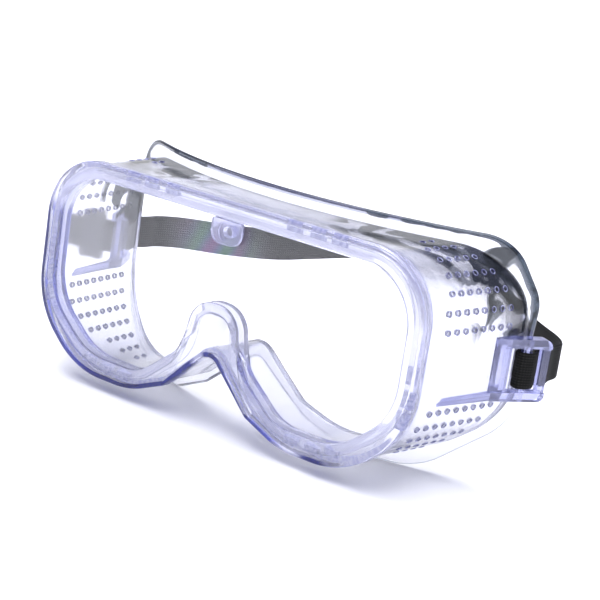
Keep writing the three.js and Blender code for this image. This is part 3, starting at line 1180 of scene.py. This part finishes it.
@dataclass
class Shell:
    """The vented walls between the rim and the face, with the nose bridge between the cheeks."""

    sizes: Sizes
    place: Place
    finishes: Finishes
    bury: float = 0.7
    vent_radius: float = 0.95
    vent_pitch: float = 4.25
    row_pitch: float = 6.15
    margin: float = 8.6
    upper_rows: tuple[int, ...] = (8, 8, 7, 6, 5, 4, 2)
    lower_rows: tuple[int, ...] = (8, 8, 7, 6, 4, 3, 2)

    def build(self) -> None:
        """Lofts the wall from the rim to the face edge."""
        s = self.sizes
        outside = s.rim().inset(s.shell_step).points()
        inside = s.rim().inset(s.shell_step + s.shell_wall).points()
        steps = 14
        rows, tints, dark_reflections = [], [], []
        for o, i in zip(outside, inside):
            back = s.face(s.flared(o.x, 50.0)) - self.bury
            # beside and high mark the upper temple walls for painted dark reflection, growing towards
            # the face edge.
            beside = max(0.0, min(1.0, (abs(o.x) - 20.0) / 40.0))
            high = max(0.0, min(1.0, (o.y - 2.0) / 14.0)) * beside
            row, tint, dark_reflection = [], [], []
            for k in [*range(steps), *reversed(range(steps))]:
                y = s.shell_front - 0.4 + (back - s.shell_front + 0.4) * k / (steps - 1)
                p = o if len(row) < steps else i
                row.append(self.place.put(s.flared(p.x, y), y, p.y))
                tint.append(0.5 if k in (0, steps - 1) else 0.0)
                dark_reflection.append(high * max(0.0, 1.0 - (back - y) / 30.0) * 2.3)
            rows.append(row)
            tints.append(tint)
            dark_reflections.append(dark_reflection)
        grid = Grid("goggles_shell")
        grid.loft(rows, tints, dark_reflections)
        shell = grid.build(self.finishes.vinyl, smooth=50.0)
        shell.data.materials.append(self.finishes.seam)
        for polygon in shell.data.polygons:
            polygon.material_index = int(polygon.normal.y < -0.9)
        nodes = [
            "shell_brow",
            "shell_temple_right",
            "shell_temple_left",
            "shell_cheek_right",
            "shell_cheek_left",
            "nose_bridge",
        ]
        hand_over(shell, Body.FRAME, nodes)

    def walk(self, start: float, direction: int, steps: int) -> list[tuple[Vector, Vector]]:
        """Points and outward normals at equal steps round the wall from a height at the temple.

        Args:
            start: Height of the first row.
            direction: 1 up and over the brow, -1 down and under the cheek.
            steps: How many.

        Returns:
            Pairs of a point and a normal in XZ.
        """
        outline = self.sizes.rim().inset(self.sizes.shell_step).points(24, 24)
        path = [p for p in outline if (p.y - start) * direction >= 0 and p.x > 20]
        path.sort(key=lambda p: math.atan2(p.y, p.x) * direction)
        made, travelled, want = [], 0.0, 0.0
        for a, b in zip(path, path[1:]):
            length = (b - a).length
            while travelled + length >= want and len(made) < steps:
                p = a.lerp(b, (want - travelled) / max(1e-9, length))
                t = (b - a).normalized() * direction
                made.append((p, Vector((t.y, -t.x))))
                want += self.row_pitch
            travelled += length
        return made

    def vents(self) -> None:
        """The rows of vents on both temple walls, one piece a side: rings and tubes in an uncut wall."""
        s = self.sizes
        tree = ScatterTree("vents", {"Radius": 0.0009, "Depth": 0.0019})
        radius = tree.source.outputs["Radius"]
        circle = tree.add(
            "GeometryNodeCurvePrimitiveCircle", None, {"Resolution": 12, "Radius": radius}
        )
        wall = tree.add("GeometryNodeCurvePrimitiveCircle", None, {"Resolution": 5, "Radius": 0.00017})
        ring = tree.add(
            "GeometryNodeCurveToMesh", None, {0: circle.outputs[0], 1: wall.outputs[0]}
        )
        tube = tree.add(
            "GeometryNodeMeshCylinder",
            {"fill_type": "NONE"},
            {
                "Vertices": 12,
                "Radius": radius,
                "Depth": tree.source.outputs["Depth"],
            },
        )
        sunk = tree.add(
            "GeometryNodeTransform", None, {"Geometry": tube.outputs[0], "Translation": (0, 0, -0.0008)}
        )
        both = tree.add("GeometryNodeJoinGeometry")
        for part in (ring.outputs[0], sunk.outputs[0]):
            tree.tree.links.new(part, both.inputs[0])
        tree.scatter(both.outputs[0])
        for side in Side:
            spots = []
            for rows, start, way in ((self.upper_rows, 11.2, 1), (self.lower_rows, -14.7, -1)):
                for (p, n), count in zip(self.walk(start, way, len(rows)), rows):
                    last = s.face(s.flared(p.x, 45)) - self.margin
                    for k in range(count):
                        y = last - k * self.vent_pitch
                        at = self.place.put(side.value * s.flared(p.x, y), y, p.y)
                        facing = Vector((side.value * n.x, -0.12, n.y)).normalized()
                        spots.append(Spot(at, facing, Vector((0, 1, 0))))
            name = "vents_" + side.name.lower()
            values = {"Radius": self.vent_radius * MM, "Finish": self.finishes.vent}
            vents = scattered(name, spots, tree, values)
            hand_over(vents, Body.FRAME)


@dataclass
class Flange:
    """The thin flange that seals on the face, with a rolled outer bead."""

    sizes: Sizes
    place: Place
    finishes: Finishes
    stations: int = 420
    profile: tuple[tuple[str, float, float, float], ...] = (
        ("in", 0.0, -1.7, 0.5),
        ("in", 0.8, -1.75, 0.25),
        ("out", 2.4, -1.6, 0.10),
        ("out", 1.5, -1.9, 0.60),
        ("out", 0.8, -2.15, 1.00),
        ("out", 0.2, -1.75, 1.00),
        ("out", 0.0, -1.10, 0.90),
        ("out", 0.2, -0.45, 0.95),
        ("out", 0.8, -0.05, 0.80),
        ("out", 1.6, -0.20, 0.45),
        ("out", 2.4, -0.10, 0.10),
        ("in", 0.8, 0.0, 0.10),
        ("in", 0.0, 0.0, 0.45),
    )

    def build(self) -> None:
        """Sweeps the flange's profile along the face curve."""
        s = self.sizes
        flared = []
        for p in s.rim().inset(s.shell_step + s.shell_wall).points():
            flared.append(Vector((s.flared(p.x, s.face(p.x)), p.y)))
        inner = evenly(flared, self.stations)
        outer = evenly(s.flange().points(), self.stations)
        rows, tints, dark_reflections = [], [], []
        for o, i in zip(outer, inner):
            span = (i - o).length
            # high marks the upper corners for painted dark reflection: strongest on the rolled bead, and
            # half as strong elsewhere on the far sides.
            high = max(0.0, min(1.0, (o.y - 4.0) / 12.0, (abs(o.x) - 26.0) / 22.0))
            row, tint, dark_reflection = [], [], []
            for tied, distance, depth, edge in self.profile:
                share = distance / span if tied == "out" else 1 - distance / span
                p = o.lerp(i, share)
                row.append(self.place.put(p.x, s.face(p.x) + depth, p.y))
                # The edge tint is full along the upper flange and cut to 0.3 below, so the bead's indigo
                # lines, painted dark reflection, show only along the top.
                tint.append(edge * (1.0 if o.y > 5 else 0.3))
                rolled = tied == "out" and distance < 2.0 and depth < -1.0
                beside = 0.5 if abs(o.x) > 76.0 else 0.0
                dark_reflection.append(high * (1.8 if rolled else beside))
            rows.append(row)
            tints.append(tint)
            dark_reflections.append(dark_reflection)
        grid = Grid("goggles_flange")
        grid.loft(rows, tints, dark_reflections)
        flange = grid.build(self.finishes.flange, smooth=60.0)
        hand_over(flange, Body.FRAME, ["face_flange"])


@dataclass
class Lugs:
    """The ladder lugs that hold the headband at the temples."""

    finishes: Finishes

    def build(self) -> None:
        """Rounds each lug's edges."""
        for side in Side:
            word = side.name.lower()
            lug = cad_copy("strap_lug_" + word, "lug_" + word, self.finishes.lug, 0.45 * MM, 0.55)
            hand_over(lug, Body.FRAME, ["strap_lug_" + word])


@dataclass
class Lens:
    """The flat clear lens and the tab that laps over it at the brow."""

    finishes: Finishes

    def build(self) -> None:
        """Polishes the lens and rounds the tab."""
        lens = cad_copy("lens", "clear_lens", self.finishes.lens, 0.15 * MM, 0.6)
        lens.data.materials.append(self.finishes.lens_edge)
        for polygon in lens.data.polygons:
            polygon.material_index = int(abs(polygon.normal.y) < 0.5)
        hand_over(lens, Body.FRAME, ["lens"])
        tab = cad_copy("lens_tab", "brow_tab", self.finishes.rim, 0.2 * MM, 0.6)
        hand_over(tab, Body.FRAME, ["lens_tab"])


# ---- headband ----------------------------------------------------------------------------------
def spline(points: Sequence[tuple[float, float]], steps: int) -> list[Vector]:
    """A smooth path through points.

    Args:
        points: The points, in order.
        steps: Steps between neighbours.

    Returns:
        The path, with centripetal spacing so that short spans don't overshoot.
    """
    p = [Vector(q) for q in points]
    p = [p[0] * 2 - p[1], *p, p[-1] * 2 - p[-2]]
    made = []
    for a, b, c, d in zip(p, p[1:], p[2:], p[3:]):
        t0 = 0.0
        t1 = t0 + max(1e-6, (b - a).length) ** 0.5
        t2 = t1 + max(1e-6, (c - b).length) ** 0.5
        t3 = t2 + max(1e-6, (d - c).length) ** 0.5
        for k in range(steps):
            t = t1 + (t2 - t1) * k / steps
            ab = a.lerp(b, (t - t0) / (t1 - t0))
            bc = b.lerp(c, (t - t1) / (t2 - t1))
            cd = c.lerp(d, (t - t2) / (t3 - t2))
            abc = ab.lerp(bc, (t - t0) / (t2 - t0))
            bcd = bc.lerp(cd, (t - t1) / (t3 - t1))
            made.append(abc.lerp(bcd, (t - t1) / (t2 - t1)))
    made.append(p[-2])
    return made


@dataclass
class Headband:
    """One length of black elastic: round the right lug's bar, behind the head, out by the left lug."""

    sizes: Sizes
    place: Place
    finishes: Finishes
    lug_angle: float = 60.0
    lug_depth: float = 43.0
    standoff: float = 1.6
    bar_middle: float = 7.5
    outer_bar: float = 13.0
    lug_length: float = 15.6
    layer: float = 2.3
    lap_gap: float = 0.8
    section: tuple[tuple[float, float], ...] = (
        (-0.5, 0.0),
        (-0.485, 0.32),
        (-0.45, 0.5),
        (-0.3, 0.5),
        (-0.15, 0.5),
        (0.0, 0.5),
        (0.15, 0.5),
        (0.3, 0.5),
        (0.45, 0.5),
        (0.485, 0.32),
        (0.5, 0.0),
        (0.485, -0.32),
        (0.45, -0.5),
        (0.3, -0.5),
        (0.15, -0.5),
        (0.0, -0.5),
        (-0.15, -0.5),
        (-0.3, -0.5),
        (-0.45, -0.5),
        (-0.485, -0.32),
    )

    def beside(self, along: float, out: float) -> tuple[float, float]:
        """A point by the right lug: along it, and out from its middle plane."""
        s = self.sizes
        c, b = math.cos(math.radians(self.lug_angle)), math.sin(math.radians(self.lug_angle))
        root = (s.rim_half - s.shell_step) * (1 + s.shell_flare * (self.lug_depth - s.shell_front))
        return (
            root + self.standoff + along * c + out * b,
            self.lug_depth + along * b - out * c,
        )

    def path(self) -> list[Vector]:
        """The whole run of the band, seen from above."""
        s = self.sizes
        held_x = self.beside(self.lug_length, -self.layer)[0] + 0.3
        loose_x = held_x - s.band_thickness - self.lap_gap
        swing = s.swing_depth
        b, m, v = self.beside, self.bar_middle, self.layer
        right = [
            b(m + 0.4, -v - 0.1),
            b(m - 1.6, -v + 0.1),
            b(m - 2.7, -v + 1.2),
            b(m - 2.9, 0.0),
            b(m - 2.7, v - 0.6),
            b(m - 1.7, v),
            b(m + 1.6, v),
            b(self.outer_bar - 2.2, 0.9),
            b(self.outer_bar - 0.6, -v + 0.35),
            b(self.lug_length, -v - 0.05),
            (held_x - 0.1, swing - s.lap),
            (loose_x + 0.5, swing),
            (loose_x, swing + s.lap),
            (loose_x - 1.2, swing + 8),
            (loose_x - 5.5, swing + 13),
            (loose_x - 17, swing + 22),
            (loose_x - 36, swing + 38),
            (loose_x - 55, swing + 60),
            (16, swing + 84),
            (-10, swing + 96),
            (-32, swing + 94),
            (-46, swing + 78),
            (-52, swing + 58),
            (-57, swing + 40),
            (-69, swing + 25),
            (-loose_x + 5, swing + 13),
            (-loose_x, swing + s.lap),
            (-loose_x - 0.5, swing),
            (-held_x + 0.1, swing - s.lap),
        ]
        tail = [b(4.3, 3.2), b(4.3, 5.5), b(4.3, 12.0), b(4.3, 21.3)]
        left = [
            b(self.lug_length, -v - 0.05),
            b(self.outer_bar - 0.6, -v + 0.35),
            b(self.outer_bar - 2.4, 0.6),
            b(m + 1.3, v),
            b(m - 1.0, v + 0.1),
            b(m - 2.2, v + 0.7),
            *tail,
        ]
        points = right + [(-x, y) for x, y in left]
        return spline(points, 7)

    def build(self) -> None:
        """Makes the ribbon and its weave map."""
        s = self.sizes
        path = self.path()
        count, width = len(path), len(self.section)
        verts, runs, travelled = [], [], 0.0
        for i, p in enumerate(path):
            a, b = path[max(0, i - 1)], path[min(count - 1, i + 1)]
            t = (b - a).normalized()
            n = Vector((-t.y, t.x))
            if i:
                travelled += (p - path[i - 1]).length
            runs.append(travelled * MM)
            for w, h in self.section:
                q = p + n * h * s.band_thickness
                verts.append(self.place.put(q.x, q.y, s.band_middle + w * s.band_width))
        faces = []
        for i in range(count - 1):
            for j in range(width):
                k = (j + 1) % width
                faces.append((i * width + j, i * width + k, (i + 1) * width + k, (i + 1) * width + j))
        faces.append(tuple(range(width))[::-1])
        faces.append(tuple((count - 1) * width + j for j in range(width)))
        mesh = bpy.data.meshes.new("elastic_headband")
        mesh.from_pydata([tuple(v) for v in verts], [], faces)
        layer = mesh.uv_layers.new(name="weave")
        for polygon in mesh.polygons:
            for loop in polygon.loop_indices:
                index = mesh.loops[loop].vertex_index
                layer.data[loop].uv = (runs[index // width], self.section[index % width][0] + 0.5)
        work = bmesh.new()
        work.from_mesh(mesh)
        bmesh.ops.recalc_face_normals(work, faces=work.faces)
        work.to_mesh(mesh)
        work.free()
        mesh.materials.append(self.finishes.webbing)
        band = bpy.data.objects.new("elastic_headband", mesh)
        bpy.context.scene.collection.objects.link(band)
        soften(band, 50.0)
        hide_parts("headband", "band_end_right", "band_end_left", "band_tail")
        start = self.place.put(0, s.swing_depth - s.lap, s.band_middle)
        end = self.place.put(0, s.swing_depth + s.lap, s.band_middle)
        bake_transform(band)
        LOG.info("elastic_headband: %.0f mm long", runs[-1] / MM)


@dataclass
class Slide:
    """The black adjuster slide on the band's free end."""

    finishes: Finishes

    def build(self) -> None:
        """Rounds the slide's edges."""
        slide = cad_copy("adjuster_slide", "strap_slide", self.finishes.plastic, 0.18 * MM, 0.0)
        hand_over(slide, Body.SLIDE, ["adjuster_slide"])


# ---- studio ------------------------------------------------------------------------------------
@dataclass
class Studio:
    """Pale floor, soft lights and the camera."""

    place: Place
    finishes: Finishes
    azimuth: float = 36.0
    elevation: float = 13.79
    lean: float = 8.64
    distance: float = 0.6018
    focal: float = 109.74
    aim: tuple[float, float, float] = (19.1, 20.0, 5.31)
    table_white: tuple = rgb(0.95, 0.96, 1.0)
    overhead_dark: tuple = rgb(0.30, 0.32, 0.52)
    glow: float = 1.06
    sky_power: float = 3.0
    sky_spread: float = 70.0

    def floor(self) -> None:
        """A wide sheet of paper under the goggles."""
        mesh = bpy.data.meshes.new("paper_floor")
        mesh.from_pydata([(-6, -6, 0), (6, -6, 0), (6, 6, 0), (-6, 6, 0)], [], [(0, 1, 2, 3)])
        mesh.materials.append(self.finishes.floor)
        paper = bpy.data.objects.new("paper_floor", mesh)
        bpy.context.scene.collection.objects.link(paper)
        paper.location.z = -0.0004

    def light(self, name: str, at: Sequence[float], size: float, power: float) -> None:
        """A square soft light aimed at the goggles.

        Args:
            name: The light's name.
            at: Where it stands, in metres from the goggles.
            size: Side in metres.
            power: Watts.
        """
        data = bpy.data.lights.new(name, "AREA")
        data.size = size
        data.energy = power
        lamp = bpy.data.objects.new(name, data)
        lamp.location = at
        lamp.rotation_mode = "QUATERNION"
        lamp.rotation_quaternion = (Vector((0, 0, 0.03)) - Vector(at)).to_track_quat("-Z", "Y")
        bpy.context.scene.collection.objects.link(lamp)

    def air(self) -> None:
        """A room that is white at the height of the table and dark overhead."""
        world = bpy.data.worlds.new("studio_air")
        world.use_nodes = True
        world.node_tree.nodes.clear()
        t = Tree(world.node_tree)
        around = t.add("ShaderNodeTexCoord").outputs["Generated"]
        parts = t.add("ShaderNodeSeparateXYZ", None, {0: around})
        height = Value(t, parts.outputs["Z"]).ramp(0.30, 0.46)
        tone = t.add(
            "ShaderNodeMix",
            {"data_type": "RGBA"},
            {0: height, 6: self.table_white, 7: self.overhead_dark},
        )
        sky = t.add("ShaderNodeBackground", None, {"Color": tone.outputs[2], "Strength": self.glow})
        t.add("ShaderNodeOutputWorld", None, {"Surface": sky.outputs[0]})
        bpy.context.scene.world = world

    def build(self) -> None:
        """Sets up the floor, the lights, the world and the camera."""
        self.floor()
        self.light("key_softbox", (0.5, -0.9, 1.3), 0.7, 6.0)
        self.light("fill_softbox", (-1.2, -0.5, 0.9), 0.7, 4.0)
        self.light("top_softbox", (-0.5, 0.5, 1.4), 0.8, 5.0)
        self.overhead()
        self.air()
        bpy.context.scene.view_settings.view_transform = "Standard"
        self.camera()

    def overhead(self) -> None:
        """A wide, even light from straight above."""
        data = bpy.data.lights.new("overhead_sky", "SUN")
        data.energy = self.sky_power
        data.angle = math.radians(self.sky_spread)
        bpy.context.scene.collection.objects.link(bpy.data.objects.new("overhead_sky", data))

    def camera(self) -> None:
        """The camera, level with the brow and to the right, leaning a little."""
        a, e, r = (math.radians(v) for v in (self.azimuth, self.elevation, self.lean))
        back = Vector((math.sin(a) * math.cos(e), -math.cos(a) * math.cos(e), math.sin(e)))
        right = Vector((math.cos(a), math.sin(a), 0))
        up = back.cross(right)
        right, up = (
            math.cos(r) * right + math.sin(r) * up,
            -math.sin(r) * right + math.cos(r) * up,
        )
        data = bpy.data.cameras.new("view_camera")
        data.lens = self.focal
        data.sensor_width = 36.0
        data.clip_start = 0.02
        data.clip_end = 50.0
        camera = bpy.data.objects.new("view_camera", data)
        camera.rotation_mode = "QUATERNION"
        turn = [[right[i], up[i], back[i]] for i in range(3)]
        camera.rotation_quaternion = Matrix(turn).to_quaternion()
        camera.location = self.place.put(*self.aim) + back * self.distance
        bpy.context.scene.collection.objects.link(camera)
        bpy.context.scene.camera = camera


def main() -> None:
    """Builds the studio and every sub-assembly."""
    logging.basicConfig(level=logging.INFO, format="%(message)s")
    sizes = Sizes()
    place = Place.of_rim(sizes)
    finishes = Finishes()
    Studio(place, finishes).build()
    rim = Rim(sizes, place, finishes)
    rim.build()
    rim.tabs()
    shell = Shell(sizes, place, finishes)
    shell.build()
    shell.vents()
    Flange(sizes, place, finishes).build()
    Lugs(finishes).build()
    Lens(finishes).build()
    Headband(sizes, place, finishes).build()
    Slide(finishes).build()


if __name__ == "__main__":
    main()
